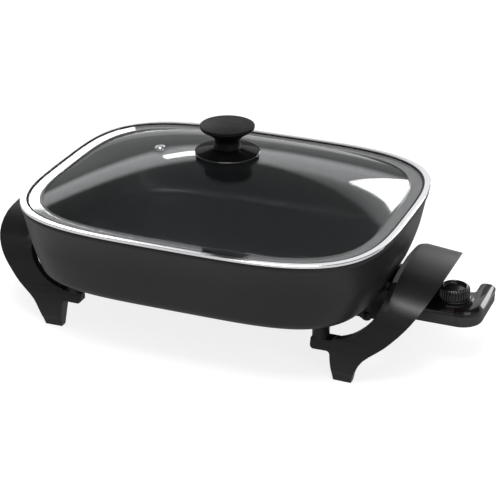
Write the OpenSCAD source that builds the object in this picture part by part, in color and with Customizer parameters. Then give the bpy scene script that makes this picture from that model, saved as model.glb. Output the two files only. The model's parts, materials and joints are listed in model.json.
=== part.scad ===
// Electric skillet: die-cast pan on two arched leg-handles, lift-off glass lid
// and a plug-in heat control with a dial.
// X runs along the pan towards the heat control, Y towards the back, Z up.
// The origin is on the table, below the centre of the pan.

/* [Pan] */
// Length of the rim, along X
pan_len = 400; // [370:1:430]
// Width of the rim, along Y
pan_wid = 323; // [300:1:350]
// Depth from the rim to the underside of the base
pan_depth = 79; // [70:1:92]
// Squareness of the rim outline, where 2 is an ellipse
rim_square = 3.75; // [3.2:0.05:4.6]
// Gain in squareness from the rim to the base
base_square = 0.5; // [0:0.05:1]
// Thickness of the walls
pan_wall = 3; // [2.4:0.1:4]
// Thickness of the base
base_wall = 5; // [4:0.1:6.5]
// Lean of the walls from rim to base
wall_lean = 16; // [12:0.5:20]
// Extra lean of the two long walls
long_lean = 3.4; // [1:0.2:5]
// Outside radius between the walls and the base
pan_corner = 13; // [9:0.5:17]
// Inward curve of the two end walls, down at the base
end_curve = 6.5; // [4:0.5:9]

/* [Handles] */
// Height of the pan's underside above the table
table_gap = 66; // [60:1:75]
// Reach of the grips beyond the rim
grip_reach = 46; // [42:1:50]
// Width of a grip, along X
grip_wid = 48.5; // [46:0.5:52]
// Height of a grip's crown above the table
grip_z = 99.5; // [94:0.5:104]
// Slope of a grip across its width, rising towards the pan
grip_tilt = 6; // [4:0.5:7]
// Distance between the outer faces of a handle's two legs
leg_span = 196; // [180:2:210]
// Wall of the handle mouldings
skin = 3.2; // [2.6:0.1:4]
// Depth of the flange along a handle's inner edge
flange_deep = 8; // [6.5:0.5:10]
// Depth of a foot, front to back
foot_deep = 15; // [12:0.5:17]
// Width of a foot, along X
foot_wid = 19; // [17:0.5:22]
// Thickness of the mounting pads
pad_thick = 10.7; // [9.5:0.1:12]
// Radius of the handle screws
screw_r = 2.5; // [2:0.1:3]

/* [Lid] */
// Width of the steel ring
ring_wid = 6.8; // [6.4:0.1:8]
// Height of the steel ring above the rim
ring_high = 4; // [3.6:0.1:5]
// Thickness of the glass
glass_thick = 4; // [3.5:0.1:4.5]
// Width of the flat border of the glass inside the ring
border_wid = 13; // [9:0.5:16]
// Height of the glass crown above the rim
lid_rise = 42; // [34:1:48]
// Radius of the knob's top disc
knob_r = 28.4; // [24:0.2:32]
// Radius of the knob's skirt
skirt_r = 34; // [30:0.5:38]
// Height of the knob above the glass
knob_high = 31.3; // [27:0.1:36]
// Radius of the hole in the steam vent
vent_r = 2; // [1.5:0.1:2.5]
// Distance of the steam vent from the knob
vent_x = 77; // [60:1:95]

/* [Heating] */
// Radius of the heating tube
tube_r = 3.75; // [3.2:0.05:4.2]
// Radius of the terminal pins
pin_r = 2.4; // [2:0.1:2.8]
// Distance between the terminal pins
pin_pitch = 38; // [34:1:42]
// Drop of the pins and probe below the pan's underside
pin_drop = 10.5; // [9.5:0.1:12]
// Radius of the temperature probe
probe_r = 3.2; // [2.8:0.1:3.6]
// Length of the probe ahead of the plug block
probe_len = 56; // [48:1:62]

/* [Heat control] */
// Width of the housing, along Y
body_wid = 50; // [46:1:56]
// Height of the lower shell
lower_high = 12.8; // [12:0.1:14]
// Height of the upper shell
upper_high = 6.8; // [6.2:0.1:8]
// Wall of the shells
shell = 2.2; // [1.8:0.1:2.6]
// Distance of the dial's axis beyond the rim
dial_x = 49; // [46:0.5:54]
// Radius of the dial at its foot
dial_r = 16.5; // [14:0.5:18]
// Height of the dial
dial_high = 13.4; // [11:0.1:15]
// Number of grip ribs round the dial
dial_ribs = 32; // [20:1:40]
// Radius of the cord's hole in the gland
cord_r = 3.6; // [3:0.1:4]

/* [Hidden] */

$fn = 64;
SEGS = 96;          // points round the pan's outline
FIT = 0.06;         // radial clearance of a running fit
SEAT = 0.3;         // clearance between bodies that part
GLIDE = 0.1;        // radial clearance of a push fit
LOOSE = 0.2;        // radial clearance round a screw

rim_z = table_gap + pan_depth;
rim_x = pan_len / 2;
rim_y = pan_wid / 2;
rim_in = 1.1;       // set-back of the pan's edge from the lid ring's edge
floor_z = table_gap + base_wall;

// ---- general helpers ----

// Smooth curve through points p, k steps a span
function curve(p, k) = let(n = len(p) - 1) concat(
    [for (i = [0 : n - 1]) let(
        a = p[i], b = p[i + 1],
        ta = (b - p[max(i - 1, 0)]) / (i == 0 ? 1 : 2),
        tb = (p[min(i + 2, n)] - a) / (i == n - 1 ? 1 : 2))
        for (j = [0 : k - 1]) let(t = j / k)
            (2 * t ^ 3 - 3 * t ^ 2 + 1) * a + (t ^ 3 - 2 * t ^ 2 + t) * ta
            + (3 * t ^ 2 - 2 * t ^ 3) * b + (t ^ 3 - t ^ 2) * tb],
    [p[n]]);

// Arc of k + 1 points round c
function arc(c, r, a0, a1, k) = [for (i = [0 : k]) let(a = a0 + (a1 - a0) * i / k)
    c + r * [cos(a), sin(a)]];

function unit(v) = v / norm(v);
function left_of(v) = [-v[1], v[0]];

// A closed outline moved inwards by d, for outlines that run counter-clockwise
function inset(p, d) = let(n = len(p)) [for (i = [0 : n - 1]) let(
    u = unit(p[i] - p[(i + n - 1) % n]), v = unit(p[(i + 1) % n] - p[i]),
    m = left_of(u) + left_of(v))
    p[i] + d * m * 2 / (m * m)];

// An open line moved to its left by d
function beside(p, d) = let(n = len(p) - 1) [for (i = [0 : n]) let(
    u = unit(p[max(i, 1)] - p[max(i, 1) - 1]),
    v = unit(p[min(i, n - 1) + 1] - p[min(i, n - 1)]),
    m = left_of(u) + left_of(v))
    p[i] + d * m * 2 / (m * m)];

// Solid skinned over rings of points. Looped rings close on the first one; other ends are
// closed by fans of triangles from point hub, which sees all the others.
module loft(rings, looped = false, hub = 0) {
    n = len(rings[0]);
    m = len(rings);
    sides = [for (j = [0 : looped ? m - 1 : m - 2], i = [0 : n - 1]) let(
        a = j * n + i, b = j * n + (i + 1) % n,
        c = ((j + 1) % m) * n + (i + 1) % n, d = ((j + 1) % m) * n + i)
        each [[a, c, b], [a, d, c]]];
    top = (m - 1) * n;
    caps = looped ? [] : [for (i = [1 : n - 2]) let(b = (hub + i) % n, c = (hub + i + 1) % n)
        each [[hub, b, c], [top + hub, top + c, top + b]]];
    polyhedron(points = [for (r = rings) each r], faces = concat(sides, caps), convexity = 8);
}

// ---- pan ----

function drop(z) = (rim_z - z) / pan_depth;
function bulge(t, n) = sign(t) * pow(abs(t), 2 / n);

// How far the end walls curve in at height z
function end_in(z) = end_curve * max(0, 1 - (z - table_gap) / curve_high) ^ 1.5;

// The pan's rounded outline at height z, moved inwards by d
function outline(d, z) = let(
    n = rim_square + base_square * drop(z),
    a = rim_x - d - end_in(z), b = rim_y - d - long_lean * drop(z))
    [for (i = [0 : SEGS - 1]) let(t = 360 * i / SEGS)
        [a * bulge(cos(t), n), b * bulge(sin(t), n), z]];

curve_high = 42;    // height over which the end walls curve in
curve_steps = [for (h = [18, 23.5, 29, 35, 42]) table_gap + h];
lean_angle = atan(wall_lean / pan_depth);
function lean_in(z) = rim_in + wall_lean * drop(z);

// Round corner between a wall face and a floor face: pairs of set-back and height
function corner(z0, off, r) = let(
    c = [lean_in(z0 + r) + (off + r) / cos(lean_angle), z0 + r])
    [for (i = [0 : 5]) let(a = 90 - (90 - lean_angle) * i / 5)
        [c[0] - r * cos(a), c[1] - r * sin(a)]];

pan_profile = concat(
    corner(table_gap, 0, pan_corner),
    [for (z = curve_steps) [lean_in(z), z]],
    [[lean_in(rim_z - 5), rim_z - 5], [rim_in - 0.4, rim_z - 3.4], [rim_in - 0.4, rim_z - 0.5],
     [rim_in, rim_z], [rim_in + pan_wall, rim_z]],
    [for (i = [4 : -1 : 0]) let(z = curve_steps[i])
        [lean_in(z) + pan_wall / cos(lean_angle), z]],
    [for (i = [0 : 5]) corner(floor_z, pan_wall, pan_corner - pan_wall)[5 - i]]);

boss_r = 8.8;
boss_len = 23;
pad_top = table_gap - boss_len;
boss_x = rim_x - 63;
boss_y = leg_span / 2 - 10;

pin_z = table_gap - pin_drop;
pin_y = pin_pitch / 2;
loop_x = rim_x - 90;
loop_y = 64;
loop_r = 34;
bend_r = 8;
rib_wid = 14;
rib_z = pin_z - 1.5;
block_x0 = rim_x - 84;
block_x1 = rim_x - 30;
block_top = floor_z - 0.6;
block_y = pin_y + 9.5;
block_z = pin_z - 8;
cheek_x = rim_x - 42;
cheek_y = pin_y + 2;
cheek_z = pin_z - 16;
well_end = 5;
plug_x0 = block_x1 + 8;
probe_tip = plug_x0 - probe_len;

// One half of the heating tube's route; the child is its section, round the origin
module tube_half() {
    translate([loop_x + bend_r, pin_y, 0]) rotate([90, 0, 90])
        linear_extrude(block_x1 - loop_x - bend_r) children();
    bend_y = pin_y + bend_r;
    translate([loop_x + bend_r, bend_y, 0]) rotate([0, 0, 180]) rotate_extrude(angle = 90)
        translate([bend_r, 0]) children();
    translate([loop_x, bend_y, 0]) rotate([90, 0, 180]) linear_extrude(loop_y - loop_r - bend_y)
        children();
    translate([loop_x - loop_r, loop_y - loop_r, 0]) rotate_extrude(angle = 90)
        translate([loop_r, 0]) children();
    translate([loop_r - loop_x, loop_y, 0]) rotate([90, 0, 90])
        linear_extrude(2 * (loop_x - loop_r)) children();
    translate([loop_r - loop_x, loop_y - loop_r, 0]) rotate([0, 0, 90])
        rotate_extrude(angle = 90) translate([loop_r, 0]) children();
    translate([-loop_x, 0, 0]) rotate([90, 0, 180]) linear_extrude(loop_y - loop_r) children();
}

module tube_route() {
    tube_half() children();
    mirror([0, 1, 0]) tube_half() children();
}

module each_boss(side) for (y = [-boss_y, boss_y]) translate([side * boss_x, y, 0]) children();

module pan() color([0.2, 0.2, 0.2]) difference() {
    union() {
        loft([for (p = pan_profile) outline(p[0], p[1])]);
        translate([0, 0, rib_z]) tube_route()
            translate([-rib_wid / 2, 0]) square([rib_wid, table_gap + 1 - rib_z]);
        translate([block_x0, -block_y, block_z])
            cube([block_x1 - block_x0, 2 * block_y, block_top - block_z]);
        // cheeks that take the guard's screws
        for (s = [0, 1]) mirror([0, s, 0]) translate([cheek_x, cheek_y, cheek_z])
            cube([block_x1 - cheek_x, block_y - cheek_y, block_z + 1 - cheek_z]);
        for (s = [-1, 1]) each_boss(s) translate([0, 0, pad_top])
            cylinder(r = boss_r, h = boss_len + 1);
    }
    translate([0, 0, pin_z]) tube_route() circle(tube_r + FIT);
    translate([probe_tip - well_end, 0, pin_z]) rotate([0, 90, 0])
        cylinder(r = probe_r + GLIDE, h = 200);
    for (s = [-1, 1]) each_boss(s) translate([0, 0, pad_top - 1])
        cylinder(r = screw_r + FIT, h = boss_len - 3);
    guard_holes(guard_screw_len, screw_small + FIT);
}

// ---- heating element and terminals ----

pin_out = 30;
pin_in = 8;
collar_r = 5;
collar_len = 5;

module heating_element() color([0.45, 0.44, 0.42]) translate([0, 0, pin_z]) difference() {
    tube_route() circle(tube_r);
    for (y = [-pin_y, pin_y]) translate([block_x1 - pin_in, y, 0]) rotate([0, 90, 0])
        cylinder(r = pin_r + FIT, h = pin_in + 1);
}

module terminal_pins() color([0.8, 0.8, 0.82]) for (y = [-pin_y, pin_y])
    translate([block_x1 - pin_in + FIT, y, pin_z]) rotate([0, 90, 0]) {
        cylinder(r = pin_r, h = pin_in + pin_out - 1);
        translate([0, 0, pin_in + pin_out - 1]) cylinder(r1 = pin_r, r2 = pin_r - 1, h = 1);
    }

module pin_insulators() color([0.93, 0.91, 0.86]) for (y = [-pin_y, pin_y])
    translate([block_x1, y, pin_z]) rotate([0, 90, 0]) difference() {
        cylinder(r = collar_r, h = collar_len);
        translate([0, 0, -1]) cylinder(r = pin_r + FIT, h = collar_len + 2);
    }

guard_thick = 2;
guard_x0 = rim_x - 48;
guard_x1 = rim_x + 3;
guard_low = pin_z - 14;
guard_hole_x = rim_x - 34.5;
guard_hole_z = pin_z - 11;
guard_lug_r = 6.5;
guard_screw_len = 6;
screw_small = 1.7;

module guard_holes(deep, r) for (s = [-1, 1])
    translate([guard_hole_x, s * (block_y + guard_thick + 1), guard_hole_z])
        rotate([s * 90, 0, 0]) cylinder(r = r, h = deep + guard_thick + 1);

// Side of the guard, whose top edge follows the curve of the pan's end
guard_side = concat([[guard_x0, guard_low], [guard_x1, guard_low], [guard_x1, table_gap + 7]],
    [for (i = [5 : -1 : 0]) let(p = corner(table_gap, 0, pan_corner)[i])
        [rim_x - p[0] - end_in(p[1]) + 0.5, p[1]]],
    [[guard_x0, table_gap]]);

module terminal_guard() color([0.12, 0.12, 0.12]) difference() {
    union() {
        for (s = [0, 1]) mirror([0, s, 0]) {
            translate([0, block_y + guard_thick, 0]) rotate([90, 0, 0])
                linear_extrude(guard_thick) polygon(guard_side);
            translate([guard_hole_x, block_y, guard_hole_z]) rotate([-90, 0, 0])
                cylinder(r = guard_lug_r, h = guard_thick);
        }
        translate([block_x1 + 1, -block_y - 1, guard_low])
            cube([guard_x1 - block_x1 - 1, 2 * block_y + 2, guard_thick]);
    }
    guard_holes(guard_screw_len, screw_small + FIT);
}

module guard_screws() color([0.7, 0.7, 0.72]) for (s = [-1, 1])
    translate([guard_hole_x, s * (block_y + guard_thick), guard_hole_z])
        rotate([s * 90, 0, 0]) {
            cylinder(r = screw_small, h = guard_screw_len + guard_thick - 1);
            mirror([0, 0, 1]) pan_head(screw_small * 2, 2);
        }

// Round screw head with a cross recess, standing on z = 0
module pan_head(r, h) difference() {
    union() {
        cylinder(r = r, h = h * 0.5);
        translate([0, 0, h * 0.5]) cylinder(r1 = r, r2 = r * 0.7, h = h * 0.5);
    }
    for (a = [0, 90]) rotate(a) translate([-r * 0.55, -r * 0.11, h * 0.45])
        cube([r * 1.1, r * 0.22, h]);
}

// ---- handles ----

leg_y = leg_span / 2;
grip_out_x = rim_x + grip_reach;
grip_in_x = grip_out_x - grip_wid;
foot_out_x = rim_x - 28;
foot_in_x = foot_out_x - foot_wid;
notch_x = foot_in_x - 3.5;
rim_t = 3;
leg_round = rim_t + 1;
pad_x0 = boss_x - boss_r;
pad_low = pad_top - pad_thick;

// Half of the arch, seen along X: shares of the half span and of the height
arch_half = [[0.96, -0.1], [0.985, 0], [1, 0.05], [1, 0.155], [0.95, 0.345], [0.898, 0.505], [0.83, 0.68],
    [0.685, 0.845], [0.385, 0.963], [0, 1]];
arch_side = curve([for (p = arch_half) [p[0] * leg_y, p[1] * grip_z]], 3);
arch = concat(arch_side, [for (i = [len(arch_side) - 2 : -1 : 0])
    [-arch_side[i][0], arch_side[i][1]]]);

// Outer edge of a leg, seen along Y, from the foot up to the crown
sweep = [[0, 0], [0.05, 0.133], [0.167, 0.282], [0.42, 0.431], [0.613, 0.574], [0.76, 0.708],
    [0.86, 0.82], [0.94, 0.913], [1, 1]];
outer_edge = concat(curve([for (p = sweep)
    [foot_out_x + p[0] * (grip_out_x - foot_out_x), p[1] * grip_z]], 3),
    [[grip_out_x, grip_z + 20]]);

// Arched edge between the grip and the mounting pad
rise = [[1, 1], [0.98, 0.78], [0.92, 0.6], [0.82, 0.44], [0.7, 0.31], [0.55, 0.2], [0.4, 0.12],
    [0.2, 0.055], [0.06, 0.03]];
inner_edge = concat([[grip_in_x, grip_z + 20]], curve([for (p = rise)
    [notch_x + p[0] * (grip_in_x - notch_x), pad_top + p[1] * (grip_z - pad_top)]], 3),
    [[notch_x, pad_top], [pad_x0, pad_top]]);
inner_leg = concat(
    arc([pad_x0 + leg_round, pad_low + leg_round], leg_round, 180, 270, 4),
    arc([notch_x - leg_round, pad_low - leg_round], leg_round, 90, 0, 4),
    [[foot_in_x - 1.5, pad_low * 0.37], [foot_in_x, 0]]);
leg_outline = concat(outer_edge, inner_edge, inner_leg);

module slab(p) rotate([90, 0, 0]) linear_extrude(leg_span + 20, center = true) polygon(p);

// Places its child, drawn as seen along X, on the slope a of the grip at depth x0
module on_slope(x0, a, len) translate([x0, 0, grip_z + (grip_out_x - x0) * tan(grip_tilt)])
    rotate([0, a, 0]) translate([-len, 0, -grip_z]) rotate([90, 0, 90])
        linear_extrude(len + 60) children();

// Arched skin from depth t0 to depth t1 below the outer face
module band(t0, t1) {
    a = t0 == 0 ? arch : beside(arch, t0);
    b = beside(arch, t1);
    on_slope(grip_out_x, grip_tilt, 130)
        polygon(concat(a, [for (i = [len(b) - 1 : -1 : 0]) b[i]]));
}

module arch_form() on_slope(grip_out_x, grip_tilt, 130) polygon(arch);

bevel_wid = 5;      // bevel along the grip's inner edge
bevel_tilt = grip_tilt - 17;
bevel_arch = [for (p = arch) [p[0], grip_z - (grip_z - p[1]) * cos(bevel_tilt) / cos(grip_tilt)]];
bevel_end = [[-1.1, 1.3], [-0.877, 0.663], [-0.725, 0.794], [0.725, 0.794], [0.877, 0.663],
    [1.1, 1.3]];

module bevel_cut() difference() {
    intersection() {
        translate([grip_in_x - 10, -leg_y - 5, 0])
            cube([bevel_wid + 10, leg_span + 10, 2 * grip_z]);
        on_slope(grip_out_x, grip_tilt, 130)
            polygon([for (p = bevel_end) [p[0] * leg_y, p[1] * grip_z]]);
    }
    on_slope(grip_in_x + bevel_wid, bevel_tilt, 60) polygon(bevel_arch);
}

sole = 4;
sink_r = 6.6;
sink_deep = 5;
washer_t = 1;
rib_t = 2.5;
rib_y = leg_y * 0.3;
pad_chamfer = 2;
pad_neck = 6;       // reach of a mounting pad into the leg
foot_rise = pad_low - 2;
strip = [for (p = outer_edge) if (p[1] > grip_z * 0.42) p];
core_outline = inset(leg_outline, rim_t);
strip_outline = concat([for (p = strip) p + [8, 0]],
    [for (i = [len(strip) - 1 : -1 : 0]) strip[i] - [rim_t + 1, 0]]);

foot_back = leg_y - foot_deep;
foot_plan = [[foot_in_x - 20, foot_back], [foot_out_x - 9, foot_back],
    [foot_out_x - 2, leg_y - flange_deep], [foot_out_x + 20, leg_y - flange_deep],
    [foot_out_x + 20, leg_y + 2], [foot_in_x - 20, leg_y + 2]];
foot_side = [[foot_back + 3.5, 0], [leg_y + 2, 0], [leg_y + 2, pad_low], [foot_back, pad_low]];

module handle() difference() {
    union() {
        intersection() {
            slab(leg_outline);
            band(0, skin);
        }
        // flange along the inner edge and round the leg
        intersection() {
            rotate([90, 0, 0]) linear_extrude(leg_span + 20, center = true) difference() {
                polygon(leg_outline);
                polygon(core_outline);
                polygon(strip_outline);
            }
            band(skin - 0.5, flange_deep);
        }
        // ribs under the grip
        for (y = [-rib_y, rib_y]) intersection() {
            slab(leg_outline);
            band(skin - 0.5, flange_deep);
            translate([grip_in_x, y - rib_t / 2, grip_z * 0.7])
                cube([grip_wid - rim_t - 4, rib_t, grip_z]);
        }
        // feet, open at the back above the sole
        intersection() {
            slab(leg_outline);
            arch_form();
            for (s = [0, 1]) mirror([0, s, 0]) difference() {
                intersection() {
                    linear_extrude(foot_rise) polygon(foot_plan);
                    translate([foot_in_x - 20, 0, 0]) rotate([90, 0, 90])
                        linear_extrude(foot_wid + 40) polygon(foot_side);
                }
                intersection() {
                    slab(core_outline);
                    translate([foot_in_x - 20, 0, sole])
                        cube([foot_wid + 40, leg_span, pad_low]);
                }
            }
        }
        // mounting pads
        intersection() {
            slab(leg_outline);
            arch_form();
            for (s = [0, 1]) mirror([0, s, 0]) translate([boss_x, boss_y, pad_low]) {
                cylinder(r1 = boss_r - pad_chamfer, r2 = boss_r, h = pad_chamfer);
                translate([0, 0, pad_chamfer])
                    cylinder(r = boss_r, h = pad_thick - pad_chamfer);
                translate([0, -boss_r, 0])
                    cube([notch_x - boss_x + pad_neck, 2 * boss_r, pad_thick]);
            }
        }
    }
    bevel_cut();
    for (s = [-1, 1]) translate([boss_x, s * boss_y, 0]) {
        translate([0, 0, pad_low - 1]) cylinder(r = screw_r + SEAT, h = pad_thick + 2);
        translate([0, 0, pad_low - 1]) cylinder(r = sink_r, h = sink_deep + 1);
    }
}

module right_handle() color([0.14, 0.14, 0.14]) handle();
module left_handle() color([0.14, 0.14, 0.14]) mirror([1, 0, 0]) handle();

screw_bite = boss_len - 6;  // reach of a handle screw into its boss
screw_head = 3.3;           // height of the large screw heads

module handle_screws(side) color([0.7, 0.7, 0.72]) each_boss(side)
    translate([0, 0, pad_low + sink_deep - washer_t]) {
        cylinder(r = screw_r, h = pad_thick - sink_deep + washer_t + screw_bite);
        mirror([0, 0, 1]) pan_head(screw_r * 1.9, screw_head);
    }

module handle_washers(side) color([0.75, 0.75, 0.77]) each_boss(side)
    translate([0, 0, pad_low + sink_deep - washer_t]) difference() {
        cylinder(r = sink_r - 0.6, h = washer_t);
        translate([0, 0, -1]) cylinder(r = screw_r + LOOSE, h = washer_t + 2);
    }

module right_handle_screws() handle_screws(1);
module left_handle_screws() handle_screws(-1);
module right_handle_washers() handle_washers(1);
module left_handle_washers() handle_washers(-1);

// ---- lid ----

lip_in = rim_in + pan_wall + 0.6;   // outer face of the lip that drops into the pan
glass_in = lip_in + 0.8;            // edge of the glass inside the ring
dome_in = ring_wid + border_wid;    // where the dome rises from the flat border
glass_top = ring_high - 1.2;        // top of the glass edge above the rim
crown = 0.1;                        // share of the dome that is flat, under the knob

ring_profile = [[0.5, 0], [0, 0.6], [0, ring_high * 0.5], [0.3, ring_high * 0.72],
    [1.1, ring_high * 0.91], [2.4, ring_high], [ring_wid - 1.2, ring_high],
    [ring_wid - 0.3, ring_high - 0.25], [ring_wid, ring_high - 0.8],
    [ring_wid, glass_top + 0.1], [glass_in - 0.2, glass_top + 0.1],
    [glass_in - 0.2, glass_top - glass_thick - 0.1],
    [ring_wid + 1.4, glass_top - glass_thick - 0.1],
    [ring_wid + 1.4, glass_top - glass_thick - 0.9],
    [lip_in, glass_top - glass_thick - 0.9], [lip_in, 0]];

module lid_ring() color([0.88, 0.88, 0.9])
    loft([for (p = ring_profile) outline_at(p[0], p[1])], looped = true);

// Rim outline moved inwards by d, at height z above the rim
function outline_at(d, z) = [for (p = outline(d, rim_z)) [p[0], p[1], rim_z + z]];

// Share s of the dome, from 1 at the ring to 0 at the middle, d below its top face
function dome_ring(s, d) = let(
    n = 2 + (rim_square - 2) * s * s,
    a = (rim_x - dome_in) * s, b = (rim_y - dome_in) * s)
    [for (i = [0 : SEGS - 1]) let(t = 360 * i / SEGS)
        [a * bulge(cos(t), n), b * bulge(sin(t), n), rim_z + dome_z(s) - d]];
function dome_z(s) = glass_top + (lid_rise - glass_top) * (1 - s * s) / (1 - crown * crown);

dome_steps = [1, 0.93, 0.84, 0.73, 0.6, 0.45, 0.28, crown];
vent_s = vent_x / (rim_x - dome_in);
vent_tilt = atan(2 * (lid_rise - glass_top) * vent_s / (rim_x - dome_in));

module at_vent() translate([-vent_x, 0, rim_z + dome_z(vent_s)]) rotate([0, -vent_tilt, 0])
    children();

module lid_glass() color([0.8, 0.88, 0.9, 0.35]) difference() {
    loft(concat(
        [for (i = [len(dome_steps) - 1 : -1 : 0]) dome_ring(dome_steps[i], glass_thick)],
        [outline_at(glass_in, glass_top - glass_thick), outline_at(glass_in, glass_top)],
        [for (s = dome_steps) dome_ring(s, 0)]));
    cylinder(r = knob_hole_r, h = 2 * rim_z);
    at_vent() cylinder(r = vent_neck_r + SEAT / 2, h = 40, center = true);
}

vent_neck_r = vent_r + 0.8;
vent_flange_r = vent_r + 3.6;
knob_hole_r = screw_r + 1.5;
crown_z = rim_z + lid_rise;
gasket_t = 1.2;
gasket_r = 12;
skirt_z = crown_z + gasket_t;
skirt_high = 6.4;
stem_r = 15;
knob_z = skirt_z + skirt_high;
top_z = crown_z + knob_high + gasket_t;

module steam_vent() color([0.75, 0.75, 0.77]) at_vent() rotate_extrude() polygon([
    [vent_r, 1], [vent_r + 0.4, 1.6], [vent_r + 1.5, 1.7], [vent_flange_r, 0.9],
    [vent_flange_r, 0.15], [vent_neck_r, 0.15], [vent_neck_r, -glass_thick - 0.3],
    [vent_flange_r - 1.4, -glass_thick - 0.3], [vent_flange_r - 1.4, -glass_thick - 0.9],
    [vent_r, -glass_thick - 0.9]]);

module knob_gasket() color([0.85, 0.85, 0.83]) translate([0, 0, crown_z]) difference() {
    cylinder(r = gasket_r, h = gasket_t);
    translate([0, 0, -1]) cylinder(r = screw_r + LOOSE, h = gasket_t + 2);
}

module knob_skirt() color([0.1, 0.1, 0.1]) translate([0, 0, skirt_z]) difference() {
    rotate_extrude() polygon(concat(
        [[screw_r + LOOSE, 0], [gasket_r + 2, 0], [gasket_r + 4, 1.8], [skirt_r - 2.6, 0.6],
         [skirt_r - 1.6, 0]],
        arc([skirt_r - 0.9, 0.9], 0.9, -90, 60, 4),
        curve([[skirt_r - 2, 2.3], [skirt_r - 9, 4], [stem_r + 3, 5.6], [stem_r, skirt_high]], 3),
        [[screw_r + LOOSE, skirt_high]]));
}

knob_flare = 21.2;  // height of the knob's side, as drawn
knob_edge = 3.4;    // height of its rounded top edge
knob_side = curve([[stem_r, 0], [stem_r - 1.8, 3.6], [stem_r - 1.2, 9], [stem_r + 3.4, 13.6],
    [knob_r * 0.86, 17.6], [knob_r * 0.975, 19.6], [knob_r, knob_flare]], 3);
knob_span = top_z - knob_z;

module lid_knob() color([0.16, 0.16, 0.16]) translate([0, 0, knob_z]) difference() {
    rotate_extrude() polygon(concat([[0, 0]],
        [for (p = knob_side) [p[0], p[1] * (knob_span - knob_edge) / knob_flare]],
        [[knob_r * 0.985, knob_span - 2.5], [knob_r * 0.93, knob_span - 1.8],
         [knob_r * 0.6, knob_span - 0.6], [knob_r * 0.3, knob_span - 0.1], [0, knob_span]]));
    translate([0, 0, -1]) cylinder(r = screw_r + FIT, h = knob_bore + 1);
}
knob_bore = 14;

knob_washer_r = 9;
module knob_washer() color([0.75, 0.75, 0.77])
    translate([0, 0, crown_z - glass_thick - washer_t]) difference() {
        cylinder(r = knob_washer_r, h = washer_t);
        translate([0, 0, -1]) cylinder(r = screw_r + LOOSE, h = washer_t + 2);
    }

module knob_screw() color([0.7, 0.7, 0.72]) translate([0, 0, crown_z - glass_thick - washer_t]) {
    cylinder(r = screw_r, h = knob_z + knob_bore - 2 - (crown_z - glass_thick - washer_t));
    mirror([0, 0, 1]) pan_head(screw_r * 1.9, screw_head);
}

// ---- heat control ----

split_z = pin_z + 2.2;              // joint between the two shells
low_z = split_z - lower_high;
lid_top_z = split_z + upper_high;   // top of the upper shell
half_wid = body_wid / 2;
housing_x0 = plug_x0 + 30;
dial_c = rim_x + dial_x;
end_x = dial_c + 32;
nose_r = 22.5;
tail_wid = 17;
tail_y = half_wid + 25;
tail_r = 4;
tail_end_r = 6;
gland_r = cord_r + 1.1;

nose_end = 10;      // place of the nose's last point in the outline

// Housing in plan, counter-clockwise, set inwards by d
function housing(d) = inset(concat(
    [[housing_x0, -half_wid]],
    arc([end_x - nose_r, nose_r - half_wid], nose_r, -90, 0, 9),
    arc([end_x - tail_end_r, tail_y - tail_end_r], tail_end_r, 0, 90, 5),
    arc([end_x - tail_wid + tail_end_r, tail_y - tail_end_r], tail_end_r, 90, 180, 5),
    arc([end_x - tail_wid - tail_r, half_wid + tail_r], tail_r, 0, -90, 4),
    [[housing_x0, half_wid]]), d);

function level(p, z) = [for (q = p) [q[0], q[1], z]];

module upper_form() loft([level(housing(0.4), split_z), level(housing(0), split_z + 0.5),
    level(housing(0), lid_top_z - 3.4), level(housing(1), lid_top_z - 1.5),
    level(housing(3.6), lid_top_z)], hub = nose_end);

module lower_form() loft([level(housing(3), low_z), level(housing(0.9), low_z + 1.2),
    level(housing(0.3), low_z + 3), level(housing(0.3), split_z)], hub = nose_end);

module hollow(z0, z1) translate([0, 0, z0]) linear_extrude(z1 - z0)
    polygon(housing(shell + 0.6));

plug_y = half_wid - 1;
plug_low = pin_z - 7;
plug_high = 14;
plug_x1 = housing_x0 + 8;
cord_x = end_x - tail_wid / 2;
shaft_r = 3;
hub_r = 6;
dial_z = lid_top_z + 2;
ring_r = dial_r + 3.6;
lens_x0 = end_x - 25;
lens_x1 = end_x - 15.5;
lens_in = 6;
seam = 0.7;
post_r = 3.4;
control_posts = [[housing_x0 + 17, half_wid - 8], [housing_x0 + 17, 8 - half_wid],
    [cord_x - 4, half_wid - 7]];

head_r = 2.6;

module plug_space(c) translate([housing_x0 - 1, -plug_y - c, plug_low - c])
    cube([plug_x1 - housing_x0 + 1 + c, 2 * (plug_y + c), plug_high + 2 * c]);

gland_in = 6;       // reach of the gland inside the tail's end
neck_in = shell + 0.8;

module cord_hole() translate([cord_x, tail_y - gland_in - 0.3, pin_z]) rotate([-90, 0, 0]) {
    cylinder(r = gland_r + GLIDE, h = 20);
    cylinder(r = gland_r + 1.1, h = gland_in + 0.3 - neck_in);
}

module control_base() color([0.34, 0.34, 0.34]) difference() {
    union() {
        difference() {
            lower_form();
            hollow(low_z + shell, split_z + 1);
        }
        for (p = control_posts) translate([p[0], p[1], low_z + 1])
            cylinder(r = post_r, h = split_z - low_z - 1);
    }
    plug_space(FIT);
    cord_hole();
    translate([lens_x0 + 2, -half_wid - 1, low_z - 1]) cube([seam, 1.8, lower_high + 2]);
    for (p = control_posts) translate([p[0], p[1], low_z - 1]) {
        cylinder(r = screw_small + LOOSE, h = lower_high + 2);
        cylinder(r = head_r + LOOSE, h = 3.2);
    }
}

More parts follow.
